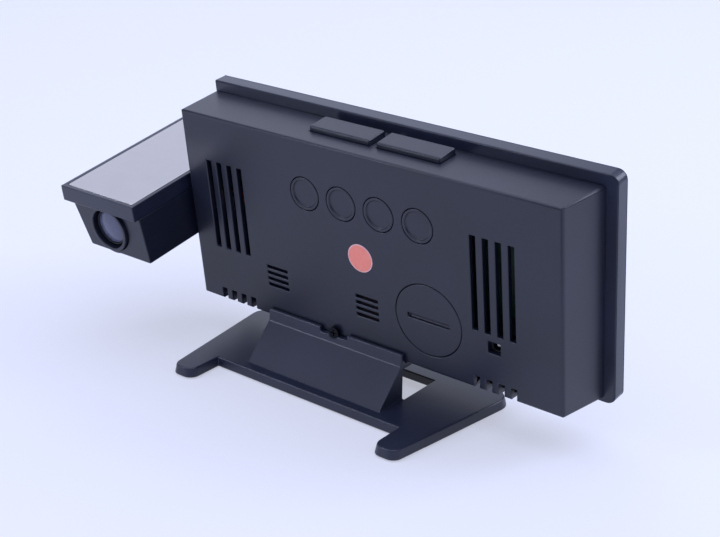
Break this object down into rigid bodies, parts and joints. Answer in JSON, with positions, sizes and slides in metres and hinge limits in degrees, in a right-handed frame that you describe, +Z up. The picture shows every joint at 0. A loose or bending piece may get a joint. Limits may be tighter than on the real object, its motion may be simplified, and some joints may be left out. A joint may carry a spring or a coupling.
{
  "type": "projection alarm clock",
  "caption": "Slim mirror-faced desk clock leaning back on a splayed stand, with a pivoting projector arm at one end, round rear buttons and long top pads.",
  "frame": {"origin": "on the desk, below the middle of the clock's bounding box", "axes": "+X along the clock's width, towards the projector arm; +Y from the mirrored face to the rear; +Z up from the desk"},
  "size_m": [0.1924, 0.0778, 0.0915],
  "materials": {
    "shell_black": "fine texture",
    "frame_black": "satin",
    "stand_black": "fine texture",
    "button_black": "satin",
    "mirror_dark": "polished",
    "mirror_silver": "satin",
    "white_plastic": "moulded",
    "segment_clear": "diffusing",
    "board_green": "dark solder mask",
    "chip_black": "moulded",
    "nickel": "plated",
    "screw_steel": "plated",
    "screw_black": "blackened steel",
    "brass": "bare",
    "sticker_red": "coated",
    "foot_rubber": "matte",
    "pivot_metal": "turned",
    "lens_black": "moulded",
    "lens_glass": "polished",
    "mask_glass": "polished",
    "led_red": "clear tinted",
    "wire_red": "sleeve",
    "plug_cream": "moulded",
    "sensor_bead": "dipped"
  },
  "bodies": {
    "case": {"rear_case": "shell_black", "front_frame": "frame_black", "mirror_window": "mirror_dark", "display_reflector": "white_plastic", "digit_segments": "segment_clear", "main_board": "board_green", "main_chip": "chip_black", "key_board": "board_green", "key_switches": "chip_black", "top_board": "board_green", "top_switches": "chip_black", "coin_cell": "nickel", "cell_contact_minus": "nickel", "cell_contact_plus": "nickel", "power_jack": "chip_black", "jack_pin": "nickel", "buzzer": "brass", "temperature_sensor": "sensor_bead", "board_screws": "screw_steel", "inspection_sticker": "sticker_red", "stand": "stand_black", "stand_screw": "screw_black", "rubber_feet": "foot_rubber", "case_lead": "wire_red", "lead_plug": "plug_cream"},
    "arm": {"arm_frame": "frame_black", "arm_mirror": "mirror_silver", "arm_case": "shell_black", "arm_screws": "screw_steel", "pivot_tube": "pivot_metal", "friction_washer": "pivot_metal", "pivot_ring": "pivot_metal", "lens_guide": "lens_black", "condenser_lens": "lens_glass", "digit_mask": "mask_glass", "projector_led": "led_red", "led_board": "board_green", "arm_lead": "wire_red"},
    "focus": {"focus_ring": "lens_black"},
    "barrel": {"lens_barrel": "lens_black", "projection_lens": "lens_glass"},
    "cover": {"battery_cover": "shell_black"},
    "key_1": {"rear_button_1": "button_black"},
    "key_2": {"rear_button_2": "button_black"},
    "key_3": {"rear_button_3": "button_black"},
    "key_4": {"rear_button_4": "button_black"},
    "pad_1": {"top_button_1": "button_black"},
    "pad_2": {"top_button_2": "button_black"}
  },
  "joints": [
    {"name": "arm_turn", "type": "hinge", "parent": "case", "child": "arm", "pos_m": [0.0604, -0.00104, 0.05217], "axis": [1, 0, 0], "range_deg": [-87.5, 92.5]},
    {"name": "focus_turn", "type": "hinge", "parent": "arm", "child": "focus", "pos_m": [0.0764, 0.03429, 0.04328], "axis": [0, 0.9842, -0.1771], "range_deg": [-60, 60]},
    {"name": "barrel_slide", "type": "slide", "parent": "arm", "child": "barrel", "axis": [0, 0.9842, -0.1771], "range_m": [-0.0015, 0.0015]},
    {"name": "cover_turn", "type": "hinge", "parent": "case", "child": "cover", "pos_m": [-0.041, 0.01069, 0.03446], "axis": [0, 0.9925, -0.1219], "range_deg": [0, 40]},
    {"name": "rear_button_1_press", "type": "slide", "parent": "case", "child": "key_1", "axis": [0, -0.9925, 0.1219], "range_m": [0, 0.0006], "stiffness_N_per_m": 300},
    {"name": "rear_button_2_press", "type": "slide", "parent": "case", "child": "key_2", "axis": [0, -0.9925, 0.1219], "range_m": [0, 0.0006], "stiffness_N_per_m": 300},
    {"name": "rear_button_3_press", "type": "slide", "parent": "case", "child": "key_3", "axis": [0, -0.9925, 0.1219], "range_m": [0, 0.0006], "stiffness_N_per_m": 300},
    {"name": "rear_button_4_press", "type": "slide", "parent": "case", "child": "key_4", "axis": [0, -0.9925, 0.1219], "range_m": [0, 0.0006], "stiffness_N_per_m": 300},
    {"name": "top_button_1_press", "type": "slide", "parent": "case", "child": "pad_1", "axis": [0, -0.1219, -0.9925], "range_m": [0, 0.0006], "stiffness_N_per_m": 400},
    {"name": "top_button_2_press", "type": "slide", "parent": "case", "child": "pad_2", "axis": [0, -0.1219, -0.9925], "range_m": [0, 0.0006], "stiffness_N_per_m": 400}
  ],
  "couplings": [
    {"joint": "focus_turn", "follows": "barrel_slide", "rad_per_m": 698.13}
  ]
}
